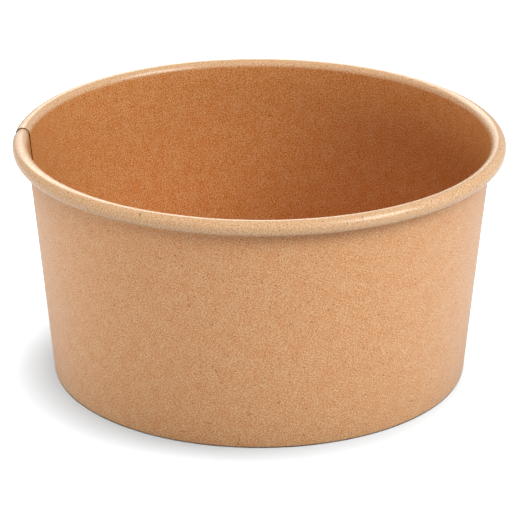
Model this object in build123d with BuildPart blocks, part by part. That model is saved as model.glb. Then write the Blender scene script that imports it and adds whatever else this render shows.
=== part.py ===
"""Paper salad bowl: a rolled paperboard cone with a curled rim, closed by a recessed base disc.

Two sheets are glued together. The side wall is a fan-shaped blank, rolled up until its ends
overlap in a lap seam. Its top edge is curled outward into a hollow bead, and its bottom edge is
folded in and up as a hem. The base disc's turned-down skirt is held between the wall and the hem.

Millimetres, +Z up. The origin is the centre of the foot, on the surface that the bowl stands on.
"""

import os
from math import atan2, cos, degrees, radians, tan

from build123d import *

# Driving sizes of the bowl
rim_diameter = 150.0
base_diameter = 128.0
bowl_height = 75.0
wall_board = 0.45
base_board = 0.40

# Rolled rim: the curl is drawn in straight runs, one for each curl_step of its turn
bead_diameter = 4.75
curl_gap = 0.30
curl_step = 30
curl_turn = 330

# Folded foot
hem_height = 6.5
fold_bevel = 0.4
glue_gap = 0.10

# Recessed base
recess_depth = 8.0
skirt_clearance = 0.25

# Lap seam: the inner ply's cut edge is at seam_angle, counter-clockwise from +X seen from above
seam_angle = 176.0
lap_width = 10.0
ramp_width = 5.0
seal_bite = 0.04

full_turn = 360
half_turn = 180
quarter_turn = 90

# The bead's middle, and the curl's mid-board radius, whose mitred corners reach the bead's outside
bead_centre = Vector((rim_diameter - bead_diameter) / 2, bowl_height - bead_diameter / 2)
curl_radius = bead_diameter / 2 - wall_board / 2 / cos(radians(curl_step / 2))

# The wall's outer face runs straight from the foot's edge to the inner side of the bead
wall_spread = bead_centre.X - curl_radius + wall_board / 2 - base_diameter / 2
wall_angle = degrees(atan2(bead_centre.Y, wall_spread))
wall_lean = quarter_turn - wall_angle

# The hem lies one base board and two glue gaps from the wall, and the skirt hangs midway
hem_offset = wall_board + base_board + 2 * glue_gap
skirt_offset = hem_offset / 2

# Angles that the seam takes up at the wall's mean radius
mean_radius = (rim_diameter + base_diameter) / 4
lap_angle = degrees(lap_width / mean_radius)
ramp_angle = degrees(ramp_width / mean_radius)


def upright_plane(angle):
    """The plane through the bowl's axis whose local X points outward at this angle."""
    return Plane.XZ.rotated((0, 0, angle))


def beside_wall(level, inset):
    """The point at a level on the line that lies inset from the middle of the wall's board."""
    outer_face = base_diameter / 2 + level * tan(radians(wall_lean))
    return Vector(outer_face - (wall_board / 2 + inset) / cos(radians(wall_lean)), level)


def curl_points(first_radius):
    """Mid-board points of the curl: round over the rim, then drawing in to clear the wall."""
    points = []
    for turned in range(0, curl_turn + 1, curl_step):
        drawn_in_share = max(0, turned / half_turn - 1)
        radius = first_radius - drawn_in_share * (wall_board + curl_gap)
        points.append(bead_centre - Vector(radius, 0).rotate(Axis.Z, -turned))
    return points


def wall_section(plane, shift):
    """The side wall's section in a plane, with its sheet moved outward, board on board, by shift.

    The foot stays level there: the shifted sheet gets a wider fold, not a lower one.
    """
    foot_level = wall_board / 2
    foot_outer = beside_wall(foot_level, -shift)
    foot_inner = beside_wall(foot_level, hem_offset + shift)
    hem_top = beside_wall(foot_level + hem_height, hem_offset + shift)
    with BuildSketch(plane) as section:
        with BuildLine():
            Polyline(hem_top, foot_inner, foot_outer, *curl_points(curl_radius - shift))
        trace(line_width=wall_board)
        chamfer(section.vertices().group_by(Axis.Y)[0], fold_bevel)
    return section.sketch


# Side wall: a ring that is open at the seam, and the end that ramps out and laps over it
ring_section = wall_section(upright_plane(seam_angle + ramp_angle), 0)
outer_section = wall_section(upright_plane(seam_angle), wall_board - seal_bite)

with BuildPart() as side_wall:
    revolve(ring_section, axis=Axis.Z, revolution_arc=full_turn - ramp_angle)
    loft([ring_section, outer_section], ruled=True)
    revolve(outer_section, axis=Axis.Z, revolution_arc=-lap_angle)
side_wall.part.label = "side_wall"

# Base disc: a flat panel, folded down at its edge into a skirt, midway between wall and hem
panel_level = recess_depth + base_board / 2
skirt_top = beside_wall(panel_level, skirt_offset)
skirt_end = beside_wall(wall_board + skirt_clearance, skirt_offset)

with BuildPart() as base_disc:
    with BuildSketch(Plane.XZ):
        with BuildLine():
            Polyline((0, panel_level), skirt_top, skirt_end)
        trace(line_width=base_board)
    revolve(axis=Axis.Z)
base_disc.part.label = "base_disc"

os.makedirs("parts", exist_ok=True)
export_step(side_wall.part, "parts/side_wall.step")
export_step(base_disc.part, "parts/base_disc.step")
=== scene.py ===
"""Paper salad bowl in brown kraft board: the rolled side wall, the recessed base and a white studio.

The side wall is one flat blank of board, bent by a rule into the wall, its curled rim, its folded
hem and its lap seam. The board's pulp is drawn on the flat blank, so it follows every fold.

Metres, +Z up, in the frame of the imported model.
"""

from math import atan2, cos, pi, radians, sin, tan

import bmesh
import bpy
from mathutils import Matrix, Vector


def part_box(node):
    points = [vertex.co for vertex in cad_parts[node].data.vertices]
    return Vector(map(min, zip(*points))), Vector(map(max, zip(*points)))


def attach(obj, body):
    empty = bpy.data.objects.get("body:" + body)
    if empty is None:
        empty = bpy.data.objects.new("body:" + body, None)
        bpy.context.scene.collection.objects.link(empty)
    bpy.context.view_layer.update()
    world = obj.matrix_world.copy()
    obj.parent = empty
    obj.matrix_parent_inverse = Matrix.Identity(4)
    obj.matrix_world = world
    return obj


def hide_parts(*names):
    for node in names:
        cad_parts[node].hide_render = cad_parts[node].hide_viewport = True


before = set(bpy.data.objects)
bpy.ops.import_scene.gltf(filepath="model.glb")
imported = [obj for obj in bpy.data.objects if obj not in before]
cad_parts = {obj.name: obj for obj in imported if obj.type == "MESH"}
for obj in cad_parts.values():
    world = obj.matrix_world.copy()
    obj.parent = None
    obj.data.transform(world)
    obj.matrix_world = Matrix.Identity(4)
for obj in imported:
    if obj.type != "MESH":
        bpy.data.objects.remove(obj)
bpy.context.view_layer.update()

MM = 0.001

# Sizes of the bowl that the frame gives
wall_low, wall_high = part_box("side_wall")
rim_radius = (wall_high.x - wall_low.x) / 2
bowl_height = wall_high.z
_, base_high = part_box("base_disc")
panel_top = base_high.z

# Sizes of the two boards and their folds
base_radius = 64 * MM
wall_board = 0.45 * MM
base_board = 0.40 * MM
bead_radius = 4.75 * MM / 2
curl_gap = 0.30 * MM
curl_turn = radians(330)
bead_squareness = 0.30 * MM
hem_height = 6.5 * MM
fold_radius = 0.45 * MM
glue_gap = 0.10 * MM
hem_offset = wall_board + base_board + 2 * glue_gap
skirt_end = 1.2 * MM
base_bend = 0.9 * MM

# Lap seam: the inner ply's cut edge is at seam_angle
seam_angle = radians(176)
lap_width = 10 * MM
ramp_width = 5 * MM
press_width = 3 * MM
lap_clearance = 0.02 * MM
mean_radius = (rim_radius + base_radius) / 2
lap_angle = lap_width / mean_radius
ramp_angle = ramp_width / mean_radius
lap_shift = wall_board + lap_clearance
seam_press = 0.35
press_angle = press_width / mean_radius

# Hand-made unevenness of the rim, and the sealing roller's marks on the hem
rim_waviness = 0.22 * MM
bead_unevenness = 0.05 * MM
wave_scale, wave_seed = 1.3, 7
dip_scale, dip_seed = 1.1, 19
wave_rise_share = 0.6
bumps_round, bumps_along = 6, 250
knurl_count = 131
knurl_depth = 0.12 * MM
marks_start = (1.5 * MM, 2.2 * MM)
marks_end = (5.2 * MM, 5.9 * MM)

# Slope of the wall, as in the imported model
bead_x = rim_radius - bead_radius
bead_z = bowl_height - bead_radius
curl_radius = bead_radius - wall_board / 2
wall_lean = atan2(bead_x - curl_radius + wall_board / 2 - base_radius, bead_z)

# Edges of the board that turn more than this stay sharp
sharp_angle = radians(50)


class Field:
    """A node's output that changes over a surface. Arithmetic on it adds Math nodes to its tree."""

    def __init__(self, build, socket):
        self.build = build
        self.socket = socket

    def __add__(self, other):
        return self.build.math("ADD", self, other)

    def __radd__(self, other):
        return self.build.math("ADD", other, self)

    def __sub__(self, other):
        return self.build.math("SUBTRACT", self, other)

    def __rsub__(self, other):
        return self.build.math("SUBTRACT", other, self)

    def __mul__(self, other):
        return self.build.math("MULTIPLY", self, other)

    def __rmul__(self, other):
        return self.build.math("MULTIPLY", other, self)

    def __truediv__(self, other):
        return self.build.math("DIVIDE", self, other)


class Build:
    """Adds nodes to a tree, feeds their inputs with fields or plain values, and gives back fields."""

    def __init__(self, tree):
        self.tree = tree

    def node(self, kind, inputs=None, **settings):
        made = self.tree.nodes.new(kind)
        for name, value in settings.items():
            setattr(made, name, value)
        for key, value in (inputs or {}).items():
            self.feed(made.inputs[key], value)
        return made

    def feed(self, socket, value):
        if isinstance(value, Field):
            self.tree.links.new(value.socket, socket)
        else:
            socket.default_value = value

    def out(self, kind, inputs=None, output=0, **settings):
        return Field(self, self.node(kind, inputs, **settings).outputs[output])

    def outs(self, kind, inputs=None, **settings):
        made = self.node(kind, inputs, **settings)
        return {socket.name: Field(self, socket) for socket in made.outputs if socket.enabled}

    def math(self, operation, *values):
        return self.out("ShaderNodeMath", dict(enumerate(values)), operation=operation)

    def vector(self, x, y, z):
        return self.out("ShaderNodeCombineXYZ", {0: x, 1: y, 2: z})

    def parts(self, vector):
        found = self.outs("ShaderNodeSeparateXYZ", {0: vector})
        return found["X"], found["Y"], found["Z"]

    def smooth(self, value, start, end):
        """0 before start, 1 after end and a smooth step between them."""
        steps = {"Value": value, "From Min": start, "From Max": end}
        return self.out("ShaderNodeMapRange", steps, interpolation_type="SMOOTHSTEP")

    def noise(self, place, scale, seed, roughness=0.5):
        settings = {"Vector": place, "W": seed, "Scale": scale, "Detail": 2.0, "Roughness": roughness}
        return self.out("ShaderNodeTexNoise", settings, noise_dimensions="4D")

    def mix_colour(self, share, first, second):
        """A mix of two colours. The Mix node's colour sockets are inputs 6 and 7 and output 2."""
        return self.out("ShaderNodeMix", {0: share, 6: first, 7: second}, output=2, data_type="RGBA")

    def interface(self, inputs, outputs):
        """Makes the group's named sockets, and gives back its inputs as fields, by name."""
        for name, (kind, default) in inputs.items():
            socket = self.tree.interface.new_socket(name, in_out="INPUT", socket_type="NodeSocket" + kind)
            if default is not None:
                socket.default_value = default
        for name, kind in outputs.items():
            self.tree.interface.new_socket(name, in_out="OUTPUT", socket_type="NodeSocket" + kind)
        return self.outs("NodeGroupInput")

    def results(self, **values):
        self.node("NodeGroupOutput", {name.replace("_", " "): value for name, value in values.items()})


# The rolled side wall

curl_runs = 33
curl_blend_rows = 2.5
fold_runs = 6
row_length = 4.5 * MM
columns_per_knurl = 4
wall_seed = 3.0
wall_sizes = {
    "Rim Radius": rim_radius,
    "Base Radius": base_radius,
    "Height": bowl_height,
    "Board": wall_board,
    "Bead Radius": bead_radius,
    "Curl Gap": curl_gap,
    "Curl Turn": curl_turn,
    "Bead Squareness": bead_squareness,
    "Hem Offset": hem_offset,
    "Hem Height": hem_height,
    "Fold Radius": fold_radius,
    "Seam Angle": seam_angle,
    "Lap Angle": lap_angle,
    "Ramp Angle": ramp_angle,
    "Lap Shift": lap_shift,
    "Seam Press": seam_press,
    "Press Angle": press_angle,
    "Rim Waviness": rim_waviness,
    "Bead Unevenness": bead_unevenness,
    "Knurl Depth": knurl_depth,
    "Knurl Count": float(knurl_count),
    "Row Length": row_length,
    "Seed": wall_seed,
}


def wall_section(b, size, lean):
    """The middle of the board in section, as a curve: down the hem, out, up the wall, round the curl."""
    board = size["Board"]
    index = b.out("GeometryNodeInputIndex")
    curl_point = 3

    def beside_wall(level, inset):
        outer_face = size["Base Radius"] + level * b.math("TANGENT", lean)
        return b.vector(outer_face - (board / 2 + inset) / b.math("COSINE", lean), 0.0, level)

    turned = b.math("MAXIMUM", index - curl_point, 0.0) * (size["Curl Turn"] / curl_runs)
    drawn_in_share = b.math("MAXIMUM", turned / pi - 1, 0.0)
    past_outside = b.math("MINIMUM", b.math("MAXIMUM", turned - pi, 0.0), pi / 2)
    corner_share = 0.5 - 0.5 * b.math("COSINE", past_outside * 4)
    radius = size["Bead Radius"] - board / 2 - drawn_in_share * (board + size["Curl Gap"])
    radius = radius + corner_share * size["Bead Squareness"]
    curl_x = size["Rim Radius"] - size["Bead Radius"] - radius * b.math("COSINE", turned)
    curl_z = size["Height"] - size["Bead Radius"] + radius * b.math("SINE", turned)

    # A new index switch has two items, and the section has four kinds of point
    corner = b.node("GeometryNodeIndexSwitch", data_type="VECTOR")
    for _ in range(2):
        corner.index_switch_items.new()
    foot_level = board / 2
    b.feed(corner.inputs["Index"], b.math("MINIMUM", index, curl_point))
    b.feed(corner.inputs["0"], beside_wall(foot_level + size["Hem Height"], size["Hem Offset"]))
    b.feed(corner.inputs["1"], beside_wall(foot_level, size["Hem Offset"]))
    b.feed(corner.inputs["2"], beside_wall(foot_level, 0.0))
    b.feed(corner.inputs["3"], b.vector(curl_x, 0.0, curl_z))

    line = b.out("GeometryNodeMeshLine", {"Count": curl_point + curl_runs + 1})
    placed = b.out("GeometryNodeSetPosition", {"Geometry": line, "Position": Field(b, corner.outputs[0])})
    curve = b.out("GeometryNodeMeshToCurve", {"Mesh": placed})
    between_foot_corners, foot_reach = 1.5, 0.6
    is_foot = b.math("COMPARE", index, between_foot_corners, foot_reach)
    rounding = {"Curve": curve, "Count": fold_runs, "Radius": is_foot * size["Fold Radius"]}
    rounded = b.out("GeometryNodeFilletCurve", rounding, mode="POLY")

    position = b.out("GeometryNodeInputPosition")
    following = {"Index": index + 1, "Value": position}
    next_position = b.out("GeometryNodeFieldAtIndex", following, data_type="FLOAT_VECTOR")
    run = b.out("ShaderNodeVectorMath", {0: position, 1: next_position}, "Value", operation="DISTANCE")
    return b.out("GeometryNodeSubdivideCurve", {"Curve": rounded, "Cuts": run / size["Row Length"]})


def rolled_wall_tree():
    """A flat blank with two faces and four cut edges, bent along the section and round the bowl."""
    tree = bpy.data.node_groups.new("Rolled wall", "GeometryNodeTree")
    b = Build(tree)
    inputs = {name: ("Float", value) for name, value in wall_sizes.items()}
    inputs |= {name: ("Material", None) for name in ("Outside", "Food Side", "Cut Edge")}
    size = b.interface(inputs, {"Geometry": "Geometry"})
    spread = size["Rim Radius"] - 2 * size["Bead Radius"] + size["Board"] - size["Base Radius"]
    lean = b.math("ARCTAN2", spread, size["Height"] - size["Bead Radius"])
    section = wall_section(b, size, lean)

    # The flat blank: X runs along the section, Y round the bowl, and Z through the board
    rows = b.out("GeometryNodeAttributeDomainSize", {0: section}, component="CURVE")
    full_turn = 2 * pi
    sweep = full_turn + size["Lap Angle"]
    columns = size["Knurl Count"] * columns_per_knurl * sweep / full_turn + 1
    counts = {"Size": (1, 1, 1), "Vertices X": rows, "Vertices Y": columns, "Vertices Z": 2}
    blank = b.out("GeometryNodeMeshCube", counts)
    _, _, faces_up = b.parts(b.out("GeometryNodeInputNormal"))
    kept = b.node("GeometryNodeCaptureAttribute", {"Geometry": blank}, domain="FACE")
    kept.capture_items.new("FLOAT", "Side")
    b.feed(kept.inputs["Side"], faces_up)
    blank, side = Field(b, kept.outputs["Geometry"]), Field(b, kept.outputs["Side"])

    # Where each point of the blank lies along the section
    along, across, through = b.parts(b.out("GeometryNodeInputPosition"))
    row = b.math("ROUND", (along + 0.5) * (rows - 1))

    def sampled(value, kind):
        taken = {"Geometry": section, "Value": value, "Index": row}
        return b.out("GeometryNodeSampleIndex", taken, data_type=kind)

    middle_x, _, middle_z = b.parts(sampled(b.out("GeometryNodeInputPosition"), "FLOAT_VECTOR"))
    tangent_x, _, tangent_z = b.parts(sampled(b.out("GeometryNodeInputTangent"), "FLOAT_VECTOR"))
    length = sampled(b.outs("GeometryNodeSplineParameter")["Length"], "FLOAT")
    swept = (across + 0.5) * sweep
    angle = size["Seam Angle"] - swept
    height_share = middle_z / size["Height"]

    # Board on board at the lap: the end ramps outward, and the start is lifted off the foot
    lapped_share = b.smooth(swept, full_turn - size["Ramp Angle"], full_turn)
    start_share = 1 - b.smooth(swept, size["Lap Angle"], size["Lap Angle"] + size["Ramp Angle"])
    low_share = 1 - b.smooth(middle_z, 0.0, size["Hem Height"])
    foot_lift = start_share * low_share * size["Lap Shift"]

    # The curl's small bumps, and the hem's roller marks between its fold and its edge
    curl_start = rows - 1 - curl_runs
    on_curl = b.smooth(row, curl_start, curl_start + curl_blend_rows)
    on_wall = b.math("GREATER_THAN", row, fold_runs * 2)
    bumps = b.noise(b.vector(angle * bumps_round, length * bumps_along, 0.0), 1.0, size["Seed"]) - 0.5
    marks = b.smooth(middle_z, *marks_start) * (1 - b.smooth(middle_z, *marks_end))
    ridges = 0.5 + 0.5 * b.math("COSINE", angle * size["Knurl Count"])
    pressed = (1 - on_wall) * marks * ridges * size["Knurl Depth"]

    # How far each point lies from the board's middle: the start of the lap is pressed thinner
    lap_offset = lapped_share * size["Lap Shift"]
    thinned = (1 - b.smooth(swept, 0.0, size["Press Angle"])) * size["Seam Press"] * (0.5 - through)
    bumped = on_curl * bumps * 2 * size["Bead Unevenness"]
    offset = (through + thinned) * size["Board"] + bumped + pressed
    level_share = b.smooth(middle_z, size["Board"], 3 * size["Board"])

    # The rim's waves, outward and up, fade toward the foot
    around_x, around_y = b.math("COSINE", angle), b.math("SINE", angle)
    wave_place = b.vector(around_x, around_y, height_share * wave_rise_share)
    wave = (b.noise(wave_place, wave_scale, size["Seed"] + wave_seed) - 0.5) * 2 * size["Rim Waviness"]
    dip = (b.noise(wave_place, dip_scale, size["Seed"] + dip_seed) - 0.5) * size["Rim Waviness"]
    radius = middle_x + tangent_z * (offset + lap_offset) + wave * height_share
    level = middle_z - tangent_x * (offset + lap_offset * level_share) + foot_lift + dip * height_share
    bent = b.vector(radius * around_x, radius * around_y, level)

    # The same point on the flat cut blank, which the pulp is drawn on, with the two faces set apart
    slant_start = size["Base Radius"] / b.math("SINE", lean)
    slant = slant_start + length
    fan_angle = swept * b.math("SINE", lean)
    flat_x = slant * b.math("SINE", fan_angle) + through
    flat_y = slant * b.math("COSINE", fan_angle) - slant_start
    flat = b.vector(flat_x, flat_y, 0.0)

    stored = {"Geometry": blank, "Name": "blank", "Value": flat}
    blank = b.out("GeometryNodeStoreNamedAttribute", stored, data_type="FLOAT_VECTOR", domain="POINT")
    stored = {"Geometry": blank, "Name": "curl", "Value": on_curl}
    blank = b.out("GeometryNodeStoreNamedAttribute", stored, data_type="FLOAT", domain="POINT")
    wall = b.out("GeometryNodeSetPosition", {"Geometry": blank, "Position": bent})
    wall = b.out("GeometryNodeSetShadeSmooth", {"Geometry": wall}, domain="FACE")
    edge_angle = b.outs("GeometryNodeInputMeshEdgeAngle")["Unsigned Angle"]
    sharp = {"Geometry": wall, "Selection": b.math("GREATER_THAN", edge_angle, sharp_angle)}
    wall = b.out("GeometryNodeSetShadeSmooth", {**sharp, "Shade Smooth": False}, domain="EDGE")

    # One material for each side of the board, and one for its cut edges
    wall = b.out("GeometryNodeRealizeInstances", {"Geometry": wall})
    wall = b.out("GeometryNodeSetMaterial", {"Geometry": wall, "Material": size["Cut Edge"]})
    facing = 0.5
    outside = {"Selection": b.math("GREATER_THAN", side, facing), "Material": size["Outside"]}
    wall = b.out("GeometryNodeSetMaterial", {"Geometry": wall, **outside})
    food_side = {"Selection": b.math("LESS_THAN", side, -facing), "Material": size["Food Side"]}
    b.results(Geometry=b.out("GeometryNodeSetMaterial", {"Geometry": wall, **food_side}))
    return tree


def made_by_nodes(name, tree, values):
    """A plain mesh object: what the tree makes with these values."""
    holder = bpy.data.objects.new(name, bpy.data.meshes.new(name))
    bpy.context.scene.collection.objects.link(holder)
    modifier = holder.modifiers.new(name, "NODES")
    modifier.node_group = tree
    for socket in tree.interface.items_tree:
        if socket.in_out == "INPUT" and socket.name in values:
            modifier[socket.identifier] = values[socket.name]
    evaluated = holder.evaluated_get(bpy.context.evaluated_depsgraph_get())
    mesh = bpy.data.meshes.new_from_object(evaluated)
    holder.modifiers.remove(modifier)
    holder.data = mesh
    return holder


# Materials

# Display colours, 0 to 255, of the board's two sides, its curled rim, its fibres and its cut edge
kraft = (209, 148, 99)
coated_kraft = (193, 126, 73)
# The curled rim's colour: partly the stretched board's own paleness, partly painted sheen for the rim's
# pale highlights
curled_kraft_and_sheen = (203, 157, 117)
pale_fibre = (238, 200, 160)
dark_fibre = (118, 62, 30)
# The cut edge's colours: raw brown pulp darkened with painted shade, the shade in the lap seam's gap
shaded_cut_dark, shaded_cut_pale = (50, 28, 21), (86, 50, 35)

# How far the slow clouds and the fine mottle step each colour, in display values
cloud_steps = (3, 10, 13)
cloud_contrast = 1.6
mottle_steps = (129, 206, 262)
screen_gamma = 2.2
least_value = 90

# The board's finish, and what the curl changes in it
board_roughness, mottle_roughness = 0.4, 0.2
curl_polish, curl_gloss, curl_calm_share = 0.26, 0.45, 0.38
dark_cover = 0.9
bump_strength, curl_bump, curl_relief = 0.25, 0.1, 1.5
bump_depth = 0.03 * MM


def fibre_dashes_group():
    """Short straight fibres, scattered one to a cell, each lying its own way."""
    seed_step_x, seed_step_y = 37.0, 17.0
    core, fade = 0.6, 1.4
    faintest = 0.35
    tree = bpy.data.node_groups.new("Fibre dashes", "ShaderNodeTree")
    b = Build(tree)
    inputs = {
        "Blank": ("Vector", None),
        "Cell": ("Float", 1 * MM),
        "Length": ("Float", 0.5 * MM),
        "Width": ("Float", 0.2 * MM),
        "Share": ("Float", 0.5),
        "Seed": ("Float", 0.0),
    }
    given = b.interface(inputs, {"Mask": "Float"})
    x, y, _ = b.parts(given["Blank"])
    x = x / given["Cell"] + given["Seed"] * seed_step_x
    y = y / given["Cell"] + given["Seed"] * seed_step_y
    spread = {"Vector": b.vector(x, y, 0.0), "Scale": 1.0}
    cell = b.outs("ShaderNodeTexVoronoi", spread, voronoi_dimensions="2D")
    centre_x, centre_y, _ = b.parts(cell["Position"])
    turn_draw, keep_draw, tone_draw = b.parts(cell["Color"])
    turn = turn_draw * 2 * pi
    from_x = (x - centre_x) * given["Cell"]
    from_y = (y - centre_y) * given["Cell"]
    cosine, sine = b.math("COSINE", turn), b.math("SINE", turn)
    lengthwise = (from_x * cosine + from_y * sine) * 2 / given["Length"]
    crosswise = (from_y * cosine - from_x * sine) * 2 / given["Width"]
    reach = b.math("SQRT", lengthwise * lengthwise + crosswise * crosswise)
    kept = b.math("LESS_THAN", keep_draw, given["Share"])
    tone = faintest + (1 - faintest) * tone_draw
    b.results(Mask=(1 - b.smooth(reach, core, fade)) * kept * tone)
    return tree


def kraft_pulp_group(dashes):
    """Everything that shows in kraft board: mottled pulp, slow clouds, dark and pale fibres."""
    mottle_size, cloud_size = 0.42 * MM, 4 * MM
    mottle_fineness, cloud_seed = 0.6, 5
    pale_rise, dark_sink = 0.3, 0.2
    tree = bpy.data.node_groups.new("Kraft pulp", "ShaderNodeTree")
    b = Build(tree)
    inputs = {"Blank": ("Vector", None), "Seed": ("Float", 0.0)}
    outputs = {"Mottle": "Float", "Clouds": "Float", "Dark Fibres": "Float", "Pale Fibres": "Float"}
    given = b.interface(inputs, {**outputs, "Height": "Float"})

    def fibres(cell, length, width, share, seed):
        """One kind of fibre, its sizes in millimetres."""
        values = {"Blank": given["Blank"], "Cell": cell * MM, "Length": length * MM, "Width": width * MM}
        values |= {"Share": share, "Seed": given["Seed"] + seed}
        made = b.node("ShaderNodeGroup", node_tree=dashes)
        for name, value in values.items():
            b.feed(made.inputs[name], value)
        return Field(b, made.outputs["Mask"])

    mottle = b.noise(given["Blank"], 1 / mottle_size, given["Seed"], mottle_fineness)
    clouds = b.noise(given["Blank"], 1 / cloud_size, given["Seed"] + cloud_seed)
    specks = fibres(cell=1.8, length=0.45, width=0.28, share=0.30, seed=1)
    shives = fibres(cell=8.0, length=1.2, width=0.30, share=0.30, seed=2)
    dark = b.math("MAXIMUM", specks, shives)
    pale = fibres(cell=1.0, length=0.60, width=0.22, share=0.40, seed=3)
    height = mottle + pale_rise * pale - dark_sink * dark
    b.results(Mottle=mottle, Clouds=clouds, Dark_Fibres=dark, Pale_Fibres=pale, Height=height)
    return tree


def linear(red, green, blue):
    """A colour given as 0 to 255 display values, as a shader reads it, by the sRGB curve."""
    def one(value):
        share = value / 255
        return share / 12.92 if share <= 0.04045 else ((share + 0.055) / 1.055) ** 2.4
    return (one(red), one(green), one(blue), 1.0)


def principled(material):
    nodes = material.node_tree.nodes
    return next(node for node in nodes if node.type == "BSDF_PRINCIPLED")


def kraft_board(name, pulp, colour, seed, gloss, sheen, flecks):
    """Kraft board: a mottled brown, with fibres in it, glossier where the rim is curled and paler there,
    partly as stretched board and partly with painted sheen.
    """
    material = bpy.data.materials.new(name)
    material.use_nodes = True
    b = Build(material.node_tree)
    shader = principled(material)
    blank = b.out("ShaderNodeAttribute", output="Vector", attribute_name="blank")
    curl = b.out("ShaderNodeAttribute", output="Fac", attribute_name="curl")
    made = b.node("ShaderNodeGroup", {"Blank": blank, "Seed": seed}, node_tree=pulp)
    pulps = {socket.name: Field(b, socket) for socket in made.outputs}

    # Slow patches are rosier or paler, and the mottle's steps are widest in blue
    rosy = [value - step for value, step in zip(colour, cloud_steps)]
    paler = [value + step for value, step in zip(colour, cloud_steps)]
    cloudy = 0.5 + cloud_contrast * (pulps["Clouds"] - 0.5)
    body = b.mix_colour(cloudy, linear(*rosy), linear(*paler))
    # On the curl the colour turns paler: partly the stretched board's own colour, partly painted sheen
    # for the rim's highlights
    body = b.mix_colour(curl, body, linear(*curled_kraft_and_sheen))
    mottle = (pulps["Mottle"] - 0.5) * (1 - curl_calm_share * curl)
    steps = (step * screen_gamma / max(value, least_value) for step, value in zip(mottle_steps, colour))
    grain = b.vector(*(1 + mottle * step for step in steps))
    body = b.out("ShaderNodeVectorMath", {0: body, 1: grain}, operation="MULTIPLY")
    body = b.mix_colour(pulps["Dark Fibres"] * dark_cover, body, linear(*dark_fibre))
    body = b.mix_colour(pulps["Pale Fibres"] * flecks, body, linear(*pale_fibre))
    b.feed(shader.inputs["Base Color"], body)
    roughness = board_roughness + mottle_roughness * pulps["Mottle"] - curl_polish * curl
    b.feed(shader.inputs["Roughness"], roughness)
    b.feed(shader.inputs["Specular IOR Level"], gloss + (curl_gloss - gloss) * curl)
    shader.inputs["Sheen Weight"].default_value = sheen
    height = pulps["Height"] + curl_relief * curl * pulps["Clouds"]
    bump = {"Height": height, "Strength": bump_strength + curl_bump * curl, "Distance": bump_depth}
    b.feed(shader.inputs["Normal"], b.out("ShaderNodeBump", bump))
    return material


def cut_edge_board(name, pulp):
    """The board's cut edge: raw pulp, darkened with painted shade, the shade in the lap seam's narrow
    gap.
    """
    pulp_seed, raw_roughness = 11.0, 0.9
    material = bpy.data.materials.new(name)
    material.use_nodes = True
    b = Build(material.node_tree)
    shader = principled(material)
    place = b.outs("ShaderNodeTexCoord")["Object"]
    made = b.node("ShaderNodeGroup", {"Blank": place, "Seed": pulp_seed}, node_tree=pulp)
    mottle = Field(b, made.outputs["Mottle"])
    # The raw pulp's brown is darkened with painted shade, the shade in the lap seam's gap
    shaded_raw_pulp = b.mix_colour(mottle, linear(*shaded_cut_dark), linear(*shaded_cut_pale))
    b.feed(shader.inputs["Base Color"], shaded_raw_pulp)
    shader.inputs["Roughness"].default_value = raw_roughness
    return material


pulp = kraft_pulp_group(fibre_dashes_group())
bare = {"gloss": 0.3, "sheen": 0.27, "flecks": 0.6}
coated = {"gloss": 0.06, "sheen": 0.0, "flecks": 0.35}
wall_outside = kraft_board("Wall outside", pulp, kraft, seed=1.0, **bare)
wall_food_side = kraft_board("Wall food side", pulp, coated_kraft, seed=2.0, **coated)
cut_edge = cut_edge_board("Cut edge", pulp)
base_underside = kraft_board("Base underside", pulp, kraft, seed=3.0, **bare)
base_food_side = kraft_board("Base food side", pulp, coated_kraft, seed=4.0, **coated)

wall_materials = {"Outside": wall_outside, "Food Side": wall_food_side, "Cut Edge": cut_edge}
side_wall = made_by_nodes("rolled_side_wall", rolled_wall_tree(), {**wall_sizes, **wall_materials})


# The base disc

def base_section():
    """The base's closed section from the axis out and back, as (radius, height, flat distance, face)."""
    skirt_middle = hem_offset / 2
    bend_runs = 6
    panel_shares = (0, 0.2, 0.4, 0.6, 0.8, 0.95, 1)

    def skirt(level, depth):
        outer_face = base_radius + level * tan(wall_lean)
        return outer_face - (wall_board / 2 + skirt_middle + depth) / cos(wall_lean)

    bend_top = panel_top - base_board / 2
    corner = skirt(bend_top, 0)
    centre = Vector((corner - base_bend, bend_top - base_bend))
    faces = []
    for side, face in ((1, 0), (-1, 1)):
        points = []
        for share in panel_shares:
            points.append((centre.x * share, bend_top + side * base_board / 2, centre.x * share))
        bend_radius = base_bend + side * base_board / 2
        for run in range(1, bend_runs + 1):
            turn = (pi / 2 + wall_lean) * run / bend_runs
            around = Vector((sin(turn), cos(turn))) * bend_radius
            points.append((centre.x + around.x, centre.y + around.y, centre.x + turn * base_bend))
        bend_end = points[-1]
        end_x = skirt(skirt_end, -side * base_board / 2)
        points.append((end_x, skirt_end, bend_end[2] + bend_end[1] - skirt_end))
        faces.append([(x, z, flat, face) for x, z, flat in points])
    return faces[0] + faces[1][::-1]


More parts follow.
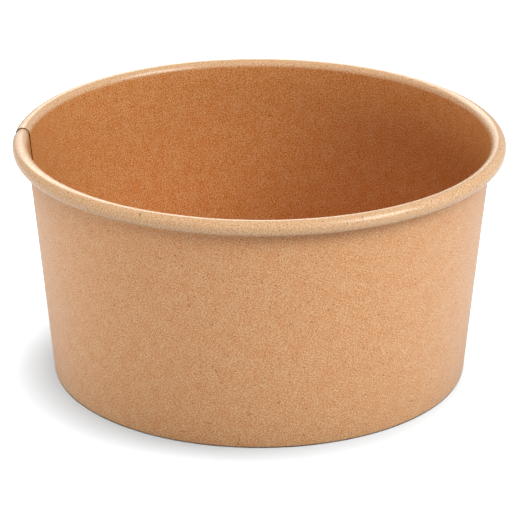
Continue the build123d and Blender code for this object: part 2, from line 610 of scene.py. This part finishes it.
def lathed_base(name, columns=288):
    """The base's section turned about the axis. A ring at the axis is one point."""
    cut_slot = 2
    section = base_section()
    form = bmesh.new()
    blank = form.verts.layers.float_vector.new("blank")
    rings = []
    for radius, level, flat, face in section:
        ring = []
        for column in range(1 if radius == 0 else columns):
            angle = 2 * pi * column / columns
            point = form.verts.new((radius * cos(angle), radius * sin(angle), level))
            point[blank] = Vector((flat * cos(angle) + face, flat * sin(angle), 0))
            ring.append(point)
        rings.append(ring)
    for (inner, outer), (first, second) in zip(zip(rings, rings[1:]), zip(section, section[1:])):
        for column in range(columns):
            following = (column + 1) % columns
            if len(inner) == 1:
                corners = (inner[0], outer[column], outer[following])
            elif len(outer) == 1:
                corners = (inner[column], outer[0], inner[following])
            else:
                corners = (inner[column], outer[column], outer[following], inner[following])
            made = form.faces.new(corners)
            made.smooth = True
            made.material_index = first[-1] if first[-1] == second[-1] else cut_slot
    bmesh.ops.recalc_face_normals(form, faces=form.faces)
    for edge in form.edges:
        edge.smooth = edge.calc_face_angle(0) < sharp_angle
    mesh = bpy.data.meshes.new(name)
    form.to_mesh(mesh)
    form.free()
    piece = bpy.data.objects.new(name, mesh)
    bpy.context.scene.collection.objects.link(piece)
    for material in (base_food_side, base_underside, cut_edge):
        mesh.materials.append(material)
    return piece


base_disc = lathed_base("recessed_base")

for piece, node, slot in ((side_wall, "side_wall", "wall_board"), (base_disc, "base_disc", "base_board")):
    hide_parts(node)
    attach(piece, "root")


# The studio: a white floor, a white surround and soft lamps

def grey_floor(half_size=4.0, drop=0.02 * MM, grey=(0.287, 0.295, 0.3), in_gloss=0.55, bounce=0.31):
    """A matt grey floor that its own lamp makes white, so it picks up little of the bowl's colour.

    The grey is a little cool, which leaves the shadow neutral beside the warm bowl. The lamp is bright
    enough to leave only the dark of the shadow. For the bowl's gloss the floor is dimmed toward plain
    white, and for the light that it throws on the bowl it is dimmed more.
    """
    material = bpy.data.materials.new("Floor")
    material.use_nodes = True
    b = Build(material.node_tree)
    for node in list(material.node_tree.nodes):
        material.node_tree.nodes.remove(node)
    ray = b.outs("ShaderNodeLightPath")
    share = bounce + (1 - bounce) * ray["Is Camera Ray"] + (in_gloss - bounce) * ray["Is Glossy Ray"]
    colour = b.vector(*(share * level for level in grey))
    matt = b.out("ShaderNodeBsdfDiffuse", {"Color": colour})
    b.node("ShaderNodeOutputMaterial", {"Surface": matt})
    mesh = bpy.data.meshes.new("floor")
    corners = [(x * half_size, y * half_size, -drop) for x, y in ((-1, -1), (1, -1), (1, 1), (-1, 1))]
    mesh.from_pydata(corners, [], [(0, 1, 2, 3)])
    mesh.materials.append(material)
    floor = bpy.data.objects.new("floor", mesh)
    bpy.context.scene.collection.objects.link(floor)
    return floor


def white_surround(in_gloss=0.8):
    """White behind the bowl and a dimmer white in its gloss. It gives the bowl no light of its own."""
    world = bpy.data.worlds.new("White surround")
    world.use_nodes = True
    b = Build(world.node_tree)
    background = world.node_tree.nodes["Background"]
    background.inputs["Color"].default_value = (1, 1, 1, 1)
    ray = b.outs("ShaderNodeLightPath")
    b.feed(background.inputs["Strength"], ray["Is Camera Ray"] + in_gloss * ray["Is Glossy Ray"])
    bpy.context.scene.world = world


def light_group(name, pieces):
    """A group of pieces that a lamp can be kept to."""
    group = bpy.data.collections.new(name)
    for piece in pieces:
        group.objects.link(piece)
    return group


def softbox(name, lit, azimuth, elevation, power, size=(0.8, 0.8), colour=(1, 1, 1), shows="both"):
    """A lamp that faces the bowl and lights one group. The camera is at azimuth 270 degrees.

    It shows on the group's matt colour, in its gloss, or in both.
    """
    distance = 1.5
    lamp = bpy.data.lights.new(name, "AREA")
    lamp.shape = "RECTANGLE"
    lamp.size, lamp.size_y = size
    lamp.energy = power
    lamp.color = colour
    turn, rise = radians(azimuth), radians(elevation)
    away = Vector((cos(turn) * cos(rise), sin(turn) * cos(rise), sin(rise)))
    holder = bpy.data.objects.new(name, lamp)
    holder.location = Vector((0, 0, bowl_height / 2)) + away * distance
    holder.rotation_euler = away.to_track_quat("Z", "Y").to_euler()
    holder.light_linking.receiver_collection = lit
    holder.visible_diffuse = shows in ("matt", "both")
    holder.visible_glossy = shows in ("gloss", "both")
    bpy.context.scene.collection.objects.link(holder)


def photo_camera():
    """The camera of the photograph, found from the rim's, wall's and foot's outlines in it."""
    place = Vector((0, -792.6, 358.0)) * MM
    focal_pixels, image_width, sensor_width = 2765.0, 520, 36.0
    pitch, yaw, roll = 0.3888, 0.0003, 0.0020
    forward = Vector((sin(yaw) * cos(pitch), cos(yaw) * cos(pitch), -sin(pitch)))
    level_right = Vector((cos(yaw), -sin(yaw), 0))
    level_up = level_right.cross(forward)
    right = cos(roll) * level_right + sin(roll) * level_up
    up = cos(roll) * level_up - sin(roll) * level_right
    data = bpy.data.cameras.new("camera")
    data.sensor_width = sensor_width
    data.lens = focal_pixels * sensor_width / image_width
    data.clip_start = 0.01
    camera = bpy.data.objects.new("camera", data)
    turned = Matrix((right, up, -forward)).transposed().to_4x4()
    camera.matrix_world = Matrix.Translation(place) @ turned
    bpy.context.scene.collection.objects.link(camera)
    bpy.context.scene.camera = camera


floor = grey_floor()
white_surround()
bowl = light_group("bowl", (side_wall, base_disc))
ground = light_group("ground", (floor,))
softbox("floor_lamp", ground, azimuth=30, elevation=85, power=233, size=(1.5, 1.5))

# Lamps of the bowl: sizes in metres, and slight tints
small_box, low_card, strip, sheet = (0.6, 0.6), (1.0, 0.3), (1.2, 0.35), (1.0, 0.5)
cool = (0.89, 1.02, 1.04)
warm = (1.0, 0.95, 0.78)
cream = (1.0, 0.93, 0.82)
softbox("key", bowl, azimuth=330, elevation=36, power=17.2, colour=cool)
softbox("right_top", bowl, azimuth=0, elevation=60, power=4, shows="matt")
softbox("left_top", bowl, azimuth=170, elevation=60, power=6, colour=warm, shows="matt")
softbox("rim_light", bowl, azimuth=90, elevation=50, power=1.5, shows="matt")
softbox("front", bowl, azimuth=270, elevation=44, power=8.6, size=small_box, shows="matt")
softbox("left_card", bowl, azimuth=205, elevation=4, power=9.2, size=low_card, colour=cool, shows="matt")
softbox("left_edge", bowl, azimuth=150, elevation=5, power=5.5, size=low_card, colour=cool, shows="matt")
softbox("right_card", bowl, azimuth=350, elevation=4, power=4.8, size=low_card, colour=cool, shows="matt")
softbox("back_card", bowl, azimuth=104, elevation=17, power=1.8, size=strip, colour=cream, shows="gloss")
softbox("back_top", bowl, azimuth=106, elevation=34, power=9, size=sheet, colour=cream, shows="gloss")

photo_camera()
bpy.context.scene.view_settings.view_transform = "Standard"
